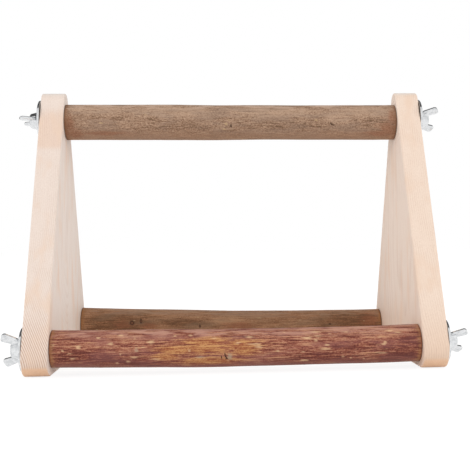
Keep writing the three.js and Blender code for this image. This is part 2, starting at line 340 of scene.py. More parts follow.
class Nodes:
    """Builds the node tree of a material, or of a world, from short calls.

    Most return an output socket, and take a plain value or such a socket as input.
    """

    def __init__(self, owner, output="ShaderNodeOutputMaterial"):
        self.owner = owner
        owner.use_nodes = True
        self.tree = owner.node_tree
        self.tree.nodes.clear()
        self.output = self.add(output)

    def add(self, kind, settings=None, inputs=None):
        node = self.tree.nodes.new(kind)
        for key, value in (settings or {}).items():
            setattr(node, key, value)
        for key, value in (inputs or {}).items():
            if isinstance(value, bpy.types.NodeSocket):
                self.tree.links.new(value, node.inputs[key])
            else:
                node.inputs[key].default_value = value
        return node

    def stretched(self, lengths, offset=(0, 0, 0)):
        """The place on the piece, with units of this many millimetres along each axis."""
        place = self.add("ShaderNodeTexCoord").outputs["Object"]
        scale = [1 / (length * MM) for length in lengths]
        inputs = {"Vector": place, "Scale": scale, "Location": offset}
        return self.add("ShaderNodeMapping", inputs=inputs).outputs["Vector"]

    def noise(self, vector, detail=2.0, roughness=0.5, distortion=0.0):
        inputs = {"Vector": vector, "Scale": 1, "Detail": detail, "Roughness": roughness}
        inputs["Distortion"] = distortion
        return self.add("ShaderNodeTexNoise", inputs=inputs).outputs[0]

    def math(self, operation, a, b=0.0, c=0.0):
        settings = {"operation": operation}
        return self.add("ShaderNodeMath", settings, {0: a, 1: b, 2: c}).outputs[0]

    def between(self, value, low, high, top=1.0):
        """0 below low, top above high and smooth between them. Low may be the larger."""
        settings = {"interpolation_type": "SMOOTHSTEP"}
        inputs = {"Value": value, "From Min": low, "From Max": high, "To Max": top}
        return self.add("ShaderNodeMapRange", settings, inputs).outputs[0]

    def ramp(self, value, stops):
        node = self.add("ShaderNodeValToRGB", inputs={"Fac": value})
        elements = node.color_ramp.elements
        while len(elements) < len(stops):
            elements.new(0.5)
        for element, (place, color) in zip(elements, stops):
            element.position = place
            element.color = color
        return node.outputs["Color"]

    def blend(self, factor, a, b, mode="MIX"):
        settings = {"data_type": "RGBA", "blend_type": mode}
        inputs = {0: factor, 6: a, 7: b}
        return self.add("ShaderNodeMix", settings, inputs).outputs[2]

    def attribute(self, name):
        return self.add("ShaderNodeAttribute", {"attribute_name": name}).outputs["Fac"]

    def bump(self, height, depth, normal=None):
        """Surface relief from a height of 0 to 1 that stands for this depth in metres."""
        inputs = {"Height": height, "Distance": depth, "Strength": 1.0}
        if normal:
            inputs["Normal"] = normal
        return self.add("ShaderNodeBump", inputs=inputs).outputs["Normal"]

    def show(self, surface):
        """Makes this shader node the surface, and gives back the material or world."""
        self.tree.links.new(surface.outputs[0], self.output.inputs["Surface"])
        return self.owner

    def finish(self, inputs):
        return self.show(self.add("ShaderNodeBsdfPrincipled", inputs=inputs))


def material_nodes(name):
    return Nodes(bpy.data.materials.new(name))


# ---- Materials ----

PITH_LEAN = 18.0             # how far the pith leans over at the foot at most, in mm
PITH_LEAN_HEIGHT = 80.0      # the height in mm from which it leans
RING_WANDER = 3.5            # how far the growth lines stray from circles, in mm
PINE_TONES = {
    "line": "bf8c68", "foot": "e8c6aa", "beside_bolt": "efcfb8", "blotch": "f0d2ba",
    # The crown tone is painted light from above, for the faces that look up.
    "pore": "dcbc9e", "crown": "f0e8e0", "fibre_dark": "e6ded8", "fibre_light": "ffffff",
    # The end tones are end grain with painted shade, for the faces that look down.
    "end_grain_shade_dark": "ecc09c", "end_grain_shade_light": "f6d2b2",
}


def pine(name, edge_tone, face_tone, pith, ring_width, lined, foot_lined, warmer, seed):
    """Planed pine with the grain upright: growth lines round a pith, fibre and blotches.

    The pith is the (x, y) of the tree's middle in millimetres, and it leans over towards
    the foot. "Lined" and "foot_lined" are how clearly the growth lines show halfway up
    and, on the board's narrow faces, at the foot. "Warmer" is how much warmer the narrow
    faces are beside the top bolt. Heights are in millimetres.
    """
    tone = {key: shade(code) for key, code in PINE_TONES.items()}
    n = material_nodes(name)
    normal = n.add("ShaderNodeTexCoord").outputs["Normal"]
    facing = n.add("ShaderNodeSeparateXYZ", inputs={0: normal}).outputs
    axes = n.add("ShaderNodeSeparateXYZ", inputs={0: n.stretched((1, 1, 1))}).outputs
    near_foot = n.math("SUBTRACT", 1.0, n.math("DIVIDE", axes[2], PITH_LEAN_HEIGHT))
    near_foot = n.math("MAXIMUM", near_foot, 0.0)
    lean = n.math("MULTIPLY_ADD", n.math("MULTIPLY", near_foot, near_foot),
                  PITH_LEAN * foot_lined, pith[0])
    from_pith_x = n.math("SUBTRACT", axes[0], lean)
    from_pith_y = n.math("SUBTRACT", axes[1], pith[1])
    square = n.math("MULTIPLY", from_pith_x, from_pith_x)
    reach = n.math("SQRT", n.math("MULTIPLY_ADD", from_pith_y, from_pith_y, square))
    wander = n.noise(n.stretched((24, 24, 130), offset=(seed, 0, 0)))
    ring = n.math("MULTIPLY_ADD", wander, RING_WANDER, reach)
    phase = n.math("FRACT", n.math("DIVIDE", ring, ring_width))

    late_wood = n.math("MULTIPLY", n.between(phase, 0.45, 0.85), n.between(phase, 1.0, 0.9))
    show = n.noise(n.stretched((7, 7, 70), offset=(0, seed, 0)))
    broad = n.between(n.math("ABSOLUTE", facing[0]), 0.5, 0.9)
    narrow = n.math("SUBTRACT", 1.0, broad)
    foot_shown = n.math("MULTIPLY", n.between(axes[2], 56.0, 24.0), narrow)
    shown = n.math("MAXIMUM", n.between(show, 0.3, 0.7), foot_shown)
    foot_clear = n.math("MULTIPLY", n.between(axes[2], 80.0, 12.0), narrow)
    clear = n.math("MULTIPLY_ADD", foot_clear, foot_lined - lined, lined)
    lines = n.math("MULTIPLY", late_wood, n.math("MULTIPLY", shown, clear))
    wood = n.blend(broad, shade(edge_tone), shade(face_tone))
    foot = n.between(axes[2], 48.0, 2.0, 0.6 - 0.5 * foot_lined)
    wood = n.blend(foot, wood, tone["foot"])
    beside_bolt = n.math("MULTIPLY", n.between(axes[2], 147.0, 152.0),
                         n.between(axes[2], 182.0, 170.0))
    beside_bolt = n.math("MULTIPLY", beside_bolt, n.math("MULTIPLY", narrow, warmer))
    wood = n.blend(beside_bolt, wood, tone["beside_bolt"])
    wood = n.blend(lines, wood, tone["line"])

    fibre = n.noise(n.stretched((0.5, 0.5, 14)), detail=4, roughness=0.65)
    fibres = n.ramp(fibre, [(0.3, tone["fibre_dark"]), (0.6, tone["fibre_light"])])
    wood = n.blend(0.4, wood, fibres, "MULTIPLY")
    blotch = n.noise(n.stretched((11, 11, 34), offset=(0, 0, seed)))
    wood = n.blend(n.between(blotch, 0.5, 0.72, 0.6), wood, tone["blotch"])
    pore = n.noise(n.stretched((0.35, 0.35, 3.2)), detail=1)
    wood = n.blend(n.between(pore, 0.68, 0.8, 0.6), wood, tone["pore"])

    # Faces that look down take the end grain's tone, warmed and darkened by painted shade.
    grain_dots = n.noise(n.stretched((0.6, 0.6, 0.6)), detail=3, roughness=0.7)
    end = n.ramp(grain_dots, [(0.3, tone["end_grain_shade_dark"]), (0.7, tone["end_grain_shade_light"])])
    wood = n.blend(n.between(facing[2], -0.36, -0.6), wood, end)
    # Faces that look up are painted paler and greyer: painted light from above.
    wood = n.blend(n.between(facing[2], 0.6, 0.95, 0.6), wood, tone["crown"])

    relief = n.bump(n.math("ADD", n.math("MULTIPLY", fibre, 0.7), phase), 0.03 * MM)
    roughness = n.math("MULTIPLY_ADD", fibre, 0.16, 0.5)
    return n.finish({"Base Color": wood, "Roughness": roughness, "Normal": relief,
                     "IOR": 1.45})


# For each bark: the length and width in mm of its streaks and fine hairs, how much these,
# the fine mottling, the pale crest and the shaded marks show, its roughness, the seed of
# its noises, the height in mm of its ridges, and its colours. The pale crest is partly dust
# and wear, partly painted light from above; the under tone is painted shade.
BARKS = {
    "front": {
        "streak": (18, 1.0), "hair": (6, 0.6), "streaky": 1.5, "mottled": 0.5,
        "crested": 0.75, "shaded": 0.11, "roughness": 0.6, "seed": 2.3, "ridge": 0.06,
        "tones": {
            "deep": "602a22", "dark": "844636", "mid": "a0604a", "light": "c28c6e",
            "cast": "96605a", "crest": "cc9a86", "under": "824638", "warm": "d39c60",
            "warm_dark": "9c5230", "fleck": "e0b88e", "grey": "b3a188", "knot": "3a211b",
            "rim": "a8774e",
        },
    },
    "top": {
        "streak": (9, 0.9), "hair": (4, 0.5), "streaky": 0.8, "mottled": 0.75,
        "crested": 0.8, "shaded": 0.05, "roughness": 0.78, "seed": 7.9, "ridge": 0.05,
        "tones": {
            "deep": "6f5440", "dark": "8f6f58", "mid": "a6856c", "light": "bf9f86",
            "cast": "98806f", "crest": "ccae98", "under": "b08a6e", "warm": "a5775c",
            "warm_dark": "8a5e46", "fleck": "c4a57c", "grey": "a89684", "knot": "3b281c",
            "rim": "865c40",
        },
    },
    "rear": {
        "streak": (16, 1.1), "hair": (6, 0.5), "streaky": 0.8, "mottled": 0.35,
        "crested": 0.6, "shaded": 0.12, "roughness": 0.78, "seed": 5.4, "ridge": 0.06,
        "tones": {
            "deep": "6c4a32", "dark": "8c6446", "mid": "a67a5a", "light": "be9470",
            "cast": "967a60", "crest": "ac8c74", "under": "96684a", "warm": "a86f50",
            "warm_dark": "86563c", "fleck": "c2a67e", "grey": "a08c74", "knot": "4c3222",
            "rim": "a06f44",
        },
    },
}

# How the marks lie over a bark, the first at the bottom: the kind of mark, the strengths
# between which it fades in, how much it covers, the noise that frays its edge and by how
# much, and its tone.
MARK_LAYERS = [
    ("warm", 0.1, 0.9, 0.8, "fibre", 2.6, "warm_grain"),
    ("grey", 0.3, 1.0, 0.7, "hair", 2.2, "grey"),
    ("fleck", 0.3, 1.0, 0.85, "hair", 2.0, "fleck"),
    ("knot", 0.3, 0.6, 0.95, "speck", 0.4, "knot"),
    ("knot", 0.72, 0.95, 0.8, "speck", 0.3, "warm_dark"),
    ("rim", 0.35, 0.95, 0.75, "hair", 3.0, "rim"),
    ("rim", 0.9, 1.0, 0.65, "speck", 0.3, "deep"),
]
CUT_TONES = ("b98d5f", "d6b083")
CUT_RINGS = 1.1              # growth rings in each millimetre of a cut end


def bark(name):
    """Thin smooth bark: long streaks and hairs, drifts of colour and the marks in the mesh."""
    look = BARKS[name]
    tone = {key: shade(code) for key, code in look["tones"].items()}
    seed = look["seed"]
    streak_size = (look["streak"][0], look["streak"][1], look["streak"][1])
    hair_size = (look["hair"][0], look["hair"][1], look["hair"][1])
    n = material_nodes(f"{name}_bark")
    hair = n.noise(n.stretched(hair_size, offset=(0, seed, 0)), 3, 0.6)
    streak = n.noise(n.stretched(streak_size, offset=(seed, 0, 0)), 3, 0.6, 0.3)
    drift = n.noise(n.stretched((26, 6, 6), offset=(0, 0, seed)), 3, 0.55)
    speck = n.noise(n.stretched((1.1, 0.6, 0.6)), 2, 0.6)

    def ragged(key, low, high, strength, by, amount):
        """How much a kind of mark shows, its edge broken up by a noise."""
        field = n.math("MULTIPLY_ADD", n.math("SUBTRACT", by, 0.5), amount, n.attribute(key))
        return n.between(field, low, high, strength)

    fibre = n.math("MULTIPLY_ADD", hair, 0.42, n.math("MULTIPLY", streak, 0.58))
    body = n.math("MULTIPLY_ADD", n.math("SUBTRACT", fibre, 0.5), look["streaky"], 0.5)
    body = n.math("MULTIPLY_ADD", n.math("SUBTRACT", speck, 0.5), look["mottled"], body)
    # Shade marks darken the bark: darker bark, and painted shade at the ends beside the boards.
    body = n.math("SUBTRACT", body, ragged("shade", 0.2, 0.8, look["shaded"], drift, 1.0))
    # Light marks lighten the bark: paler bark, and on the upper front of the front and top
    # branches painted light from above.
    body = n.math("ADD", body, ragged("light", 0.2, 0.7, 0.1, speck, 0.6))
    skin = n.ramp(body, [(0.33, tone["deep"]), (0.43, tone["dark"]), (0.51, tone["mid"]),
                         (0.64, tone["light"])])
    crack = n.noise(n.stretched((22, 0.5, 0.5), offset=(seed, seed, 0)))
    cracked = n.between(crack, 0.57, 0.68, look["streaky"] * 0.5)
    skin = n.blend(cracked, skin, tone["deep"])
    skin = n.blend(n.between(drift, 0.45, 0.65, 0.4), skin, tone["cast"])
    # The crest along the top is paler: partly dust and wear, partly painted light from above.
    height = n.attribute("height")
    band = n.noise(n.stretched((15, 2.6, 2.6), offset=(0, seed, seed)), 3, 0.6)
    pale = n.math("MULTIPLY", n.between(height, 0.5, 0.9), n.between(band, 0.44, 0.6))
    skin = n.blend(n.math("MULTIPLY", pale, look["crested"]), skin, tone["crest"])
    # The underside is blended to the redder under tone: painted shade.
    skin = n.blend(n.between(height, -0.4, -0.9, 0.4), skin, tone["under"])

    tone["warm_grain"] = n.ramp(body, [(0.38, tone["warm_dark"]), (0.62, tone["warm"])])
    noises = {"fibre": fibre, "hair": hair, "speck": speck}
    for kind, low, high, strength, by, amount, key in MARK_LAYERS:
        shown = ragged(kind, low, high, strength, noises[by], amount)
        skin = n.blend(shown, skin, tone[key])

    rings = n.math("FRACT", n.math("MULTIPLY", n.attribute("depth"), CUT_RINGS))
    grain = n.math("MULTIPLY_ADD", speck, 0.4, n.math("MULTIPLY", rings, 0.6))
    end = n.ramp(grain, [(0.2, shade(CUT_TONES[0])), (0.8, shade(CUT_TONES[1]))])
    skin = n.blend(n.between(n.attribute("cut"), 0.3, 0.7), skin, end)

    relief = n.bump(n.math("MULTIPLY_ADD", hair, 0.5, streak), 0.14 * MM)
    relief = n.bump(n.math("MAXIMUM", speck, 0.4), 0.05 * MM, relief)
    gloss = n.math("MULTIPLY_ADD", fibre, 0.3, look["roughness"] - 0.15)
    return n.finish({"Base Color": skin, "Roughness": gloss, "Normal": relief, "IOR": 1.4})


def zinc(name, seed):
    """Bright zinc plate over a cast or rolled surface."""
    n = material_nodes(name)
    cloud = n.noise(n.stretched((2.6, 2.6, 2.6), offset=(seed, seed, 0)), 3, 0.6)
    grit = n.noise(n.stretched((0.22, 0.22, 0.22)), 2, 0.6)
    plate = n.ramp(cloud, [(0.3, shade("c8cacc")), (0.7, shade("e8e9ea"))])
    roughness = n.math("MULTIPLY_ADD", cloud, 0.08, n.math("MULTIPLY_ADD", grit, 0.05, 0.05))
    relief = n.bump(n.math("MULTIPLY_ADD", cloud, 2.0, grit), 0.01 * MM)
    return n.finish({"Base Color": plate, "Metallic": 1.0, "Roughness": roughness,
                     "Normal": relief})


# ---- Side panels ----

def round_corner(before, corner, after, radius):
    """Points of the arc that rounds the corner between two straight lines."""
    to_before = (before - corner) / np.linalg.norm(before - corner)
    to_after = (after - corner) / np.linalg.norm(after - corner)
    half_angle = math.acos(np.dot(to_before, to_after)) / 2
    middle = (to_before + to_after) / np.linalg.norm(to_before + to_after)
    centre = corner + middle * radius / math.sin(half_angle)
    start = corner + to_before * radius / math.tan(half_angle) - centre
    end = corner + to_after * radius / math.tan(half_angle) - centre
    turn = math.atan2(start[0] * end[1] - start[1] * end[0], np.dot(start, end))
    steps = max(4, math.ceil(abs(turn) * radius / (OUTLINE_STEP / 2)))
    angles = np.linspace(0, turn, steps + 1)
    x = start[0] * np.cos(angles) - start[1] * np.sin(angles)
    y = start[0] * np.sin(angles) + start[1] * np.cos(angles)
    return centre + np.stack([x, y], axis=1)


def filled_in(points):
    """A closed outline with points added so that none are further apart than one step."""
    dense = []
    for here, there in zip(points, np.roll(points, -1, axis=0)):
        pieces = max(1, math.ceil(np.linalg.norm(there - here) / OUTLINE_STEP))
        dense.extend(here + (there - here) * i / pieces for i in range(pieces))
    return np.array(dense)


def panel_outline(height):
    """The board's outline in the (y, z) plane, counter-clockwise seen from the right."""
    front_foot = np.array([-BASE_HALF_WIDTH, 0])
    rear_foot = np.array([BASE_HALF_WIDTH, 0])
    crown_height = height - CROWN_RADIUS
    to_crown = math.hypot(BASE_HALF_WIDTH, crown_height)
    slant = math.atan2(crown_height, BASE_HALF_WIDTH) + math.asin(CROWN_RADIUS / to_crown)
    apex = np.array([0, BASE_HALF_WIDTH * math.tan(slant)])
    return filled_in(np.concatenate([
        round_corner(apex, front_foot, rear_foot, FOOT_RADIUS),
        round_corner(front_foot, rear_foot, apex, FOOT_RADIUS),
        round_corner(rear_foot, apex, front_foot, CROWN_RADIUS),
    ]))


def outward_normals(outline):
    """Unit vectors out of a counter-clockwise outline, one at each of its points."""
    along = np.roll(outline, -1, axis=0) - np.roll(outline, 1, axis=0)
    normals = np.stack([along[:, 1], -along[:, 0]], axis=1)
    return normals / np.linalg.norm(normals, axis=1, keepdims=True)


def edge_profile(thickness, rounding):
    """Pairs of inset and depth from one face round the edge to the other face.

    The first and last pair lie on the faces, a little in from the rounding, so that the
    faces stay flat in the light.
    """
    angles = np.linspace(0, math.pi / 2, ARRIS_STEPS + 1)
    near = [(rounding * (1 - math.sin(a)), rounding * (1 - math.cos(a))) for a in angles]
    near.insert(0, (rounding * FLAT_MARGIN, 0))
    far = [(inset, thickness - depth) for inset, depth in reversed(near)]
    return near + far


def panel(side, material):
    """A side board: its outline and three holes rounded, and its two flat faces filled."""
    node = f"{side}_side_panel"
    low, high = (Vector(corner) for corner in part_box(node))
    thickness = high.x - low.x
    outline = panel_outline(high.z)
    loops = [(outline, outward_normals(outline), ARRIS)]
    turns = np.arange(HOLE_SIDES) * 2 * math.pi / HOLE_SIDES
    circle = np.stack([np.cos(turns), np.sin(turns)], axis=1)
    for branch in BRANCHES:
        hole = bolt_axis(branch, side) + PANEL_HOLE_RADIUS * circle
        loops.append((hole, -circle, HOLE_CHAMFER))

    vertices = []
    faces = []
    near_rings = []
    far_rings = []
    for points, normals, rounding in loops:
        first = len(vertices)
        profile = edge_profile(thickness, rounding)
        for inset, depth in profile:
            ring = points - normals * inset
            vertices.extend((low.x + depth, y, z) for y, z in ring)
        faces.extend(loft_faces(len(profile), len(points), first=first))
        near_rings.append(range(first, first + len(points)))
        far_rings.append(range(len(vertices) - len(points), len(vertices)))
    for rings in (near_rings, far_rings):
        faces.extend(filled_face(vertices, rings))
    obj = new_object(f"{side}_panel_board", vertices, faces, material)
    stand_for(obj, node)


def filled_face(vertices, rings):
    """Triangles over a flat face, from an outer ring of vertex numbers and its holes."""
    numbers = [i for ring in rings for i in ring]
    flat = [Vector(vertices[i][1:]) for i in numbers]
    edges = []
    first = 0
    for ring in rings:
        count = len(ring)
        edges.extend((first + i, first + (i + 1) % count) for i in range(count))
        first += count
    outer = list(range(len(rings[0])))
    result = delaunay_2d_cdt(flat, edges, [outer], 1, 1e-7)
    source = [origin[0] for origin in result[3]]
    holes = []
    for ring in rings[1:]:
        points = np.array([vertices[i][1:] for i in ring])
        centre = points.mean(axis=0)
        holes.append((centre, np.linalg.norm(points[0] - centre)))
    triangles = []
    for triangle in result[2]:
        corners = [numbers[source[i]] for i in triangle]
        middle = np.mean([vertices[i][1:] for i in corners], axis=0)
        if all(np.linalg.norm(middle - centre) > radius for centre, radius in holes):
            triangles.append(corners)
    return triangles


# ---- Branches ----

def smooth_branch(shape, x, angle, half):
    """Reach of the wood and its centre (y, z) about the bolt axis, as in the CAD."""
    share = (x + half) / (2 * half)
    bend = np.sin(math.pi * share)
    reach = lerp(shape["radius"], share)
    for height, around, along in BARK_WAVES:
        wave = around * angle + 2 * math.pi * along * share + shape["phase"] * (around + along)
        reach = reach + height * np.sin(wave)
    centre_y = shape["sway"] * bend
    centre_z = lerp(shape["rise"], share) - shape["sag"] * bend
    return reach * MM, centre_y * MM, centre_z * MM


def spots(marks, x, angle, reach):
    """How strongly the listed marks show at each point, from 0 to 1."""
    field = np.zeros_like(x)
    for mark_x, mark_angle, length, width in marks:
        along = (x - mark_x * MM) / (length * MM / 2)
        turn = np.mod(angle - math.radians(mark_angle) + math.pi, 2 * math.pi) - math.pi
        across = turn * reach / (width * MM / 2)
        field = np.maximum(field, np.exp(-(along ** 2 + across ** 2)))
    return field


def scattered(count, lengths, widths, seed):
    """Small marks spread at random over a whole branch."""
    draw = random.Random(seed)
    return [
        (draw.uniform(-FLECK_SPREAD, FLECK_SPREAD), draw.uniform(-180, 180),
         draw.uniform(*lengths), draw.uniform(*widths))
        for _ in range(count)
    ]


def bark_noise(point, size, shift=0):
    """Noise at a point in millimetres, of this length along the fibre and width across."""
    x, y, z = point
    length, width = size
    return noise.noise(Vector((x / length, y / width, z / width)) + Vector((shift,) * 3))


def bark_relief(points, seed, ridge_height):
    """Height of the bark over the smooth wood: slow lumps, ridges along the fibre, pits."""
    heights = np.empty(len(points))
    for i, point in enumerate(points / MM):
        lump = bark_noise(point, LUMP_SIZE, seed)
        ridge = bark_noise(point, RIDGE_SIZE, -seed)
        pit = bark_noise(point, PIT_SIZE)
        heights[i] = LUMP_HEIGHT * lump + ridge_height * ridge + PIT_HEIGHT * pit
    return heights * MM


def rim_wear(angle, seed):
    """How far the cut edge is worn round at an angle round the branch."""
    y = RIM_WEAR_SPREAD * math.cos(angle)
    z = RIM_WEAR_SPREAD * math.sin(angle)
    return lerp(RIM_WEAR, 0.5 + 0.5 * noise.noise(Vector((y, z, seed))))


def branch(name, material, marks, seed):
    """A branch with its bark's relief, worn cut ends and a pilot hole in each of them.

    Its rings of points run from the bottom of the left hole out to the left end, along the
    bark and into the right hole. The mesh carries how strongly each mark shows.
    """
    node = f"{name}_perch"
    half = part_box(node)[1][0]
    shape = BRANCHES[name]
    angles = np.arange(BRANCH_SIDES) * 2 * math.pi / BRANCH_SIDES
    wear = np.array([rim_wear(angle, seed) for angle in angles])
    reach_end = half - FLAT_MARGIN * RIM_WEAR[1]
    rim_turns = np.linspace(0, math.pi / 2, RIM_STEPS + 1)
    places = [-half + wear * (1 - np.sin(t)) for t in rim_turns]
    insets = [wear * (1 - np.cos(math.pi / 2 - t)) for t in rim_turns]
    body_places = np.linspace(-reach_end, reach_end, BRANCH_STATIONS)
    places += [np.full(BRANCH_SIDES, x) for x in body_places]
    insets += [np.zeros(BRANCH_SIDES)] * BRANCH_STATIONS
    places += [half - wear * (1 - np.sin(t)) for t in reversed(rim_turns)]
    insets += [wear * (1 - np.cos(math.pi / 2 - t)) for t in reversed(rim_turns)]

    x = np.array(places)
    angle = np.broadcast_to(angles, x.shape)
    reach, centre_y, centre_z = smooth_branch(shape, x, angle, half)
    smooth = np.stack([x, reach * np.cos(angle), reach * np.sin(angle)], axis=-1)
    relief = bark_relief(smooth.reshape(-1, 3), seed, BARKS[name]["ridge"]).reshape(x.shape)
    fields = {kind: spots(listed, x, angle, reach) for kind, listed in marks.items()}
    reach = reach + relief - KNOT_DEPTH * fields["knot"] + FLECK_HEIGHT * fields["fleck"]
    reach = reach - np.array(insets)
    axis_y, axis_z = bolt_axis(name, "left")
    rings = np.stack([
        x,
        axis_y + centre_y + reach * np.cos(angle),
        axis_z + centre_z + reach * np.sin(angle),
    ], axis=-1)

    mouth = np.stack([
        np.zeros(BRANCH_SIDES),
        axis_y + BORE_RADIUS * np.cos(angles),
        axis_z + BORE_RADIUS * np.sin(angles),
    ], axis=-1)
    bores = [mouth + (place, 0, 0) for place in
             (-half + PILOT_DEPTH, -half, half, half - PILOT_DEPTH)]
    rings = np.concatenate([bores[:2], rings, bores[2:]])
    count = len(rings)
    faces = loft_faces(count, BRANCH_SIDES) + end_caps(count, BRANCH_SIDES)
    obj = new_object(f"{name}_branch", rings.reshape(-1, 3), faces, material, sharp_angle=60)

    def whole(field, in_bore=0):
        """A field over the bark, with one value for the two rings of each bore."""
        bore = np.full((2, BRANCH_SIDES), in_bore)
        return np.concatenate([bore, field, bore]).ravel()

    cut = np.zeros_like(x)
    cut[0] = cut[-1] = CUT_FADE[0]
    cut[1] = cut[-2] = CUT_FADE[1]
    fields["rim"] = np.exp(-((half - np.abs(x)) / RIM_TINT) ** 2)
    fields["height"] = np.sin(angle)
    layers = {key: whole(field) for key, field in fields.items()}
    layers["cut"] = whole(cut, in_bore=1)
    layers["depth"] = whole(reach) / MM
    for key, values in layers.items():
        layer = obj.data.attributes.new(key, "FLOAT", "POINT")
        layer.data.foreach_set("value", values.astype(np.float32))
    stand_for(obj, node)


# ---- Bolts, washers and wing nuts ----

def thread_wave(x, angle, pitch):
    """0 at the root of a right-hand thread and 1 at its crest."""
    turn = np.mod(x / pitch - angle / (2 * math.pi), 1)
    return 1 - np.abs(2 * turn - 1)


def thread_ridge(x, angle, pitch, flank):
    """The thread's wave with its flanks steepened and its root and crest cut flat."""
    steepness, root_width = flank
    return np.clip(steepness * thread_wave(x, angle, pitch) - root_width, 0, 1)


def bolt_rings(length):
    """A hanger bolt along +X with its wood-screw tip at x = 0."""
    wood = np.arange(0, WOOD_THREAD_LENGTH, WOOD_PITCH / WOOD_STEPS)
    metal = np.arange(WOOD_THREAD_LENGTH + MACHINE_PITCH, length, MACHINE_PITCH / MACHINE_STEPS)
    x = np.concatenate([wood, metal[metal < length - BOLT_LAST_GAP], [length]])[:, None]
    angle = (np.arange(BOLT_SIDES) * 2 * math.pi / BOLT_SIDES)[None, :]

    share = np.clip(2 * x / WOOD_THREAD_LENGTH, 0, 1)
    full = TIP_RADIUS + (MACHINE_RADIUS - TIP_RADIUS) * share
    root = np.maximum(full - WOOD_DEPTH, TIP_RADIUS)
    wood_reach = root + (full - root) * thread_ridge(x, angle, WOOD_PITCH, WOOD_FLANK)

    ridge = thread_ridge(x, angle, MACHINE_PITCH, MACHINE_FLANK)
    metal_reach = MACHINE_RADIUS - MACHINE_DEPTH * (1 - ridge)
    chamfer = MACHINE_RADIUS - np.clip(BOLT_CHAMFER - (length - x), 0, None)
    metal_reach = np.minimum(metal_reach, chamfer)

    reach = np.where(x < WOOD_THREAD_LENGTH, wood_reach, metal_reach)
    x = np.broadcast_to(x, reach.shape)
    return np.stack([x, reach * np.cos(angle), reach * np.sin(angle)], axis=-1)


def foot_of(side, low, high):
    """The x of a piece's inner end, from the corners of its box."""
    return high[0] if side == "left" else low[0]


def outward_place(name, side, x):
    """Turns a piece built along +X to face out of its side and puts its foot at x."""
    y, z = bolt_axis(name, side)
    turn = Matrix.Rotation(math.pi if side == "left" else 0, 4, "Z")
    return Matrix.Translation((x, y, z)) @ turn


def hanger_bolt(name, side, material):
    """A hanger bolt with both its threads."""
    node = f"{name}_{side}_hanger_bolt"
    low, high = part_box(node)
    rings = bolt_rings(high[0] - low[0])
    count = len(rings)
    faces = loft_faces(count, BOLT_SIDES) + end_caps(count, BOLT_SIDES)
    obj = new_object(f"{name}_{side}_bolt_threaded", rings.reshape(-1, 3), faces, material,
                     sharp_angle=50)
    obj.data.transform(outward_place(name, side, foot_of(side, low, high)))
    stand_for(obj, node)


def washer(name, side, material):
    """A flat washer with a rolled rim and a chamfered hole."""
    node = f"{name}_{side}_washer"
    low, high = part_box(node)
    thickness = high[0] - low[0]
    outer = (high[2] - low[2]) / 2
    turns = np.linspace(0, math.pi / 2, WASHER_RIM_STEPS + 1)
    rim = [
        (WASHER_RIM * (1 - math.cos(t)), outer - WASHER_RIM * (1 - math.sin(t)))
        for t in turns
    ]
    flat_end = outer - FLAT_MARGIN * WASHER_RIM
    hole_mouth = BORE_RADIUS + WASHER_CHAMFER
    profile = [(0, hole_mouth), (0, flat_end)]
    profile += rim
    profile += [(thickness - x, r) for x, r in reversed(rim)]
    profile += [(thickness, flat_end), (thickness, hole_mouth),
                (thickness - WASHER_CHAMFER, BORE_RADIUS), (WASHER_CHAMFER, BORE_RADIUS)]
    rings = lathe(profile, WASHER_SIDES)
    faces = loft_faces(len(profile), WASHER_SIDES, ring_closed=True)
    obj = new_object(f"{name}_{side}_washer_ring", rings, faces, material, sharp_angle=40)
    obj.data.transform(outward_place(name, side, foot_of(side, low, high)))
    stand_for(obj, node)


def wing_blade():
    """One wing as a solid in the X-Z plane, rounded, with a dished face on both sides."""
    corners = [
        (WING_ROOT_HEIGHT, WING_IN_HUB[0]),
        (WING_ROOT_HEIGHT, WING_ROOT_REACH),
        (WING_HEIGHT - WING_TIP_DROP, WING_REACH),
        (WING_HEIGHT, WING_INNER_REACH),
        (NUT_HUB_HEIGHT - WING_HUB_DROP, WING_IN_HUB[1]),
    ]
    blade = bmesh.new()

    def round_off(geom, offset, segments, affect="VERTICES"):
        bmesh.ops.bevel(blade, geom=geom, offset=offset, segments=segments, affect=affect,
                        profile=0.5)

    flat = [blade.verts.new((x, -WING_THICKNESS / 2, z)) for x, z in corners]
    blade.faces.new(flat)
    round_off([flat[2], flat[3]], WING_TIP_ROUNDING, 8)
    outer_root = Vector((WING_ROOT_HEIGHT, -WING_THICKNESS / 2, WING_ROOT_REACH))
    at_root = [v for v in blade.verts if (v.co - outer_root).length < SAME_POINT]
    round_off(at_root, WING_ROOT_ROUNDING, 6)
    grown = bmesh.ops.extrude_face_region(blade, geom=blade.faces[:])
    moved = [v for v in grown["geom"] if isinstance(v, bmesh.types.BMVert)]
    bmesh.ops.translate(blade, verts=moved, vec=(0, WING_THICKNESS, 0))
    broad = [face for face in blade.faces if len(face.verts) > 4]
    rim_edges = [edge for face in broad for edge in face.edges]
    round_off(list(set(rim_edges)), WING_EDGE_ROUNDING, 3, "EDGES")
    bmesh.ops.recalc_face_normals(blade, faces=blade.faces)
    broad = sorted(blade.faces, key=lambda face: face.calc_area())[-2:]
    for face in broad:
        bmesh.ops.inset_individual(blade, faces=[face], thickness=WING_RIM_FLAT, depth=0)
        bmesh.ops.inset_individual(blade, faces=[face], thickness=WING_RIM_SLOPE,
                                   depth=-WING_DISH)
    mesh = bpy.data.meshes.new("wing")
    blade.to_mesh(mesh)
    blade.free()
    return mesh


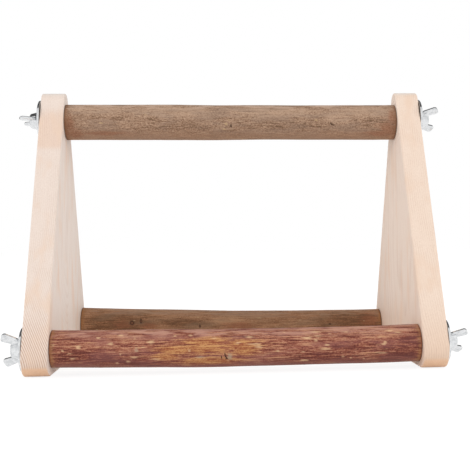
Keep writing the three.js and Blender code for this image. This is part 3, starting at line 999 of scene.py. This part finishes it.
def nut_mesh(material):
    """The cast wing nut: hub and wings joined into one skin with soft inner corners."""
    hub_profile = [
        (0, BORE_RADIUS + NUT_CHAMFER), (0, NUT_BASE_RADIUS - NUT_CHAMFER),
        (NUT_CHAMFER, NUT_BASE_RADIUS), (NUT_COLLAR - NUT_CHAMFER, NUT_BASE_RADIUS),
        (NUT_COLLAR + NUT_SHOULDER_RISE, NUT_BASE_RADIUS - NUT_SHOULDER),
        (NUT_HUB_HEIGHT - NUT_SHOULDER, NUT_TOP_RADIUS + NUT_TOP_SWELL),
        (NUT_HUB_HEIGHT, NUT_TOP_RADIUS - NUT_SHOULDER),
        (NUT_HUB_HEIGHT, BORE_RADIUS + NUT_CHAMFER),
        (NUT_HUB_HEIGHT - NUT_CHAMFER, BORE_RADIUS), (NUT_CHAMFER, BORE_RADIUS),
    ]
    solid = bmesh.new()
    hub = bpy.data.meshes.new("hub")
    hub.from_pydata(lathe(hub_profile, NUT_SIDES).tolist(), [],
                    loft_faces(len(hub_profile), NUT_SIDES, ring_closed=True))
    blade = wing_blade()
    solid.from_mesh(hub)
    solid.from_mesh(blade)
    blade.transform(Matrix.Rotation(math.pi, 4, "X"))
    solid.from_mesh(blade)
    bmesh.ops.recalc_face_normals(solid, faces=solid.faces)
    mesh = bpy.data.meshes.new("wing_nut")
    solid.to_mesh(mesh)
    solid.free()

    rough = linked("wing_nut_rough", mesh)
    remesh = rough.modifiers.new("skin", "REMESH")
    remesh.mode = "VOXEL"
    remesh.voxel_size = NUT_VOXEL
    soften = rough.modifiers.new("soften", "SMOOTH")
    soften.factor = 0.5
    soften.iterations = NUT_SOFTENING
    graph = bpy.context.evaluated_depsgraph_get()
    cast = bpy.data.meshes.new_from_object(rough.evaluated_get(graph))
    bpy.data.objects.remove(rough)
    cast.shade_smooth()
    cast.materials.clear()
    cast.materials.append(material)
    return cast


def wing_direction(node, axis):
    """The way a wing nut's wings point in the (y, z) plane, from its CAD solid."""
    points = np.array([v.co[1:] for v in frame["nodes"][node].data.vertices]) - axis
    values, directions = np.linalg.eigh(points.T @ points)
    return directions[:, int(np.argmax(values))]


def wing_nut(name, side, cast):
    """A copy of the cast nut, its foot on the washer and its wings turned as in the CAD."""
    node = f"{name}_{side}_wing_nut"
    low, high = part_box(node)
    axis = bolt_axis(name, side)
    along_y, along_z = wing_direction(node, axis)
    outward = Vector((SIDES[side], 0, 0))
    wings = Vector((0, along_y, along_z)).normalized()
    place = Matrix((outward, wings.cross(outward), wings)).transposed().to_4x4()
    place.translation = (foot_of(side, low, high), *axis)
    mesh = cast.copy()
    mesh.transform(place)
    stand_for(linked(f"{name}_{side}_nut_cast", mesh), node)


# ---- Stage ----

def seen_directly(n):
    """1 for rays from the camera, mirrors and glass, 0 for light that lights the object."""
    rays = n.add("ShaderNodeLightPath").outputs
    seen = n.math("MAXIMUM", rays["Is Camera Ray"], rays["Is Glossy Ray"])
    return n.math("MAXIMUM", seen, rays["Is Transmission Ray"])


def build_world():
    """Even white light from all round, at full strength only where it is seen directly."""
    n = Nodes(bpy.data.worlds.new("studio"), "ShaderNodeOutputWorld")
    share = {"Value": seen_directly(n), "To Min": AMBIENT, "To Max": 1}
    strength = n.add("ShaderNodeMapRange", inputs=share).outputs[0]
    light = {"Color": (1, 1, 1, 1), "Strength": strength}
    bpy.context.scene.world = n.show(n.add("ShaderNodeBackground", inputs=light))


def floor_material():
    """White that keeps a faint shadow where it is seen, and plain matt white for light."""
    n = material_nodes("floor_white")
    glow = n.add("ShaderNodeEmission", inputs={"Strength": FLOOR_GLOW})
    catch = n.add("ShaderNodeBsdfDiffuse", inputs={"Color": (*[FLOOR_CATCH] * 3, 1)})
    shown = n.add("ShaderNodeAddShader", inputs={0: glow.outputs[0], 1: catch.outputs[0]})
    matt = n.add("ShaderNodeBsdfDiffuse", inputs={"Color": (*[FLOOR_WHITE] * 3, 1)})
    mixed = n.add("ShaderNodeMixShader", inputs={0: seen_directly(n), 1: matt.outputs[0],
                                                 2: shown.outputs[0]})
    return n.show(mixed)


def dark_cards():
    """The dark cards behind and over the stand."""
    n = material_nodes("card_dark")
    dark = n.show(n.add("ShaderNodeBsdfDiffuse", inputs={"Color": (*[CARD_GREY] * 3, 1)}))
    spans = [
        (-CARD_OUTER, -CARD_INNER, CARD_FOOT),
        (CARD_INNER, CARD_OUTER, CARD_FOOT),
        (-CARD_INNER, CARD_INNER, CARD_GAP_TOP),
    ]
    cards = [
        [(left, CARD_DISTANCE, low), (right, CARD_DISTANCE, low),
         (right, CARD_DISTANCE, CARD_OUTER), (left, CARD_DISTANCE, CARD_OUTER)]
        for left, right, low in spans
    ]
    cards.append([
        (-CARD_OUTER, CARD_OVERHEAD_FRONT, CARD_OVERHEAD),
        (CARD_OUTER, CARD_OVERHEAD_FRONT, CARD_OVERHEAD),
        (CARD_OUTER, CARD_OUTER, CARD_OVERHEAD),
        (-CARD_OUTER, CARD_OUTER, CARD_OVERHEAD),
    ])
    for vertices in cards:
        card = new_object("card", vertices, [(0, 1, 2, 3)], dark)
        card.visible_camera = False
        card.visible_diffuse = False
        card.visible_transmission = False
        card.visible_shadow = False


def build_stage():
    """The floor, the two side lamps, hidden from mirror rays, the cards and the world."""
    corners = [(-1, -1), (1, -1), (1, 1), (-1, 1)]
    vertices = [(x * FLOOR_HALF, y * FLOOR_HALF, -FLOOR_DROP) for x, y in corners]
    new_object("floor", vertices, [(0, 1, 2, 3)], floor_material())

    for place in KEY_PLACES:
        key = bpy.data.lights.new("key", "AREA")
        key.energy = KEY_POWER
        key.size = KEY_SIZE
        lamp = linked("key", key)
        lamp.location = place
        lamp.rotation_euler = (KEY_AIM - place).to_track_quat("-Z", "Y").to_euler()
        lamp.visible_glossy = False
    dark_cards()
    build_world()


def build_camera():
    """The photograph's own camera, as recovered from its edges."""
    data = bpy.data.cameras.new("photograph")
    data.lens = CAMERA_LENS
    data.sensor_width = CAMERA_SENSOR
    data.sensor_fit = "HORIZONTAL"
    data.shift_x = CAMERA_SHIFT
    data.clip_start = 0.01
    turn = Matrix.Rotation(CAMERA_YAW, 3, "Z")
    turn = turn @ Matrix.Rotation(CAMERA_PITCH, 3, "X") @ Matrix.Rotation(CAMERA_ROLL, 3, "Y")
    right, forward, up = turn.transposed()
    camera = linked("photograph", data)
    camera.matrix_world = Matrix((right, up, -forward)).transposed().to_4x4()
    camera.location = CAMERA_PLACE
    bpy.context.scene.camera = camera


# ---- The scene ----

build_camera()
build_stage()

panel("left", pine("pine_left", "f4e3d7", "f6e9df", pith=(-27, -5), ring_width=1.2,
                    lined=0.16, foot_lined=0.8, warmer=0.55, seed=3.1))
panel("right", pine("pine_right", "f8e2d0", "f7e4d5", pith=(387, -30), ring_width=1.5,
                     lined=0.2, foot_lined=0.16, warmer=0.1, seed=8.7))

for order, (branch_name, marks) in enumerate(MARKS.items()):
    marks["fleck"] += scattered(FLECK_COUNTS[branch_name], FLECK_LENGTHS, FLECK_WIDTHS, order)
    branch(branch_name, bark(branch_name), marks, FIRST_BARK_SEED + BARK_SEED_STEP * order)

plated = zinc("zinc_plate", 1.7)
cast_nut = nut_mesh(plated)
for branch_name in BRANCHES:
    for side_name in SIDES:
        hanger_bolt(branch_name, side_name, plated)
        washer(branch_name, side_name, plated)
        wing_nut(branch_name, side_name, cast_nut)

bpy.context.scene.view_settings.view_transform = "Standard"
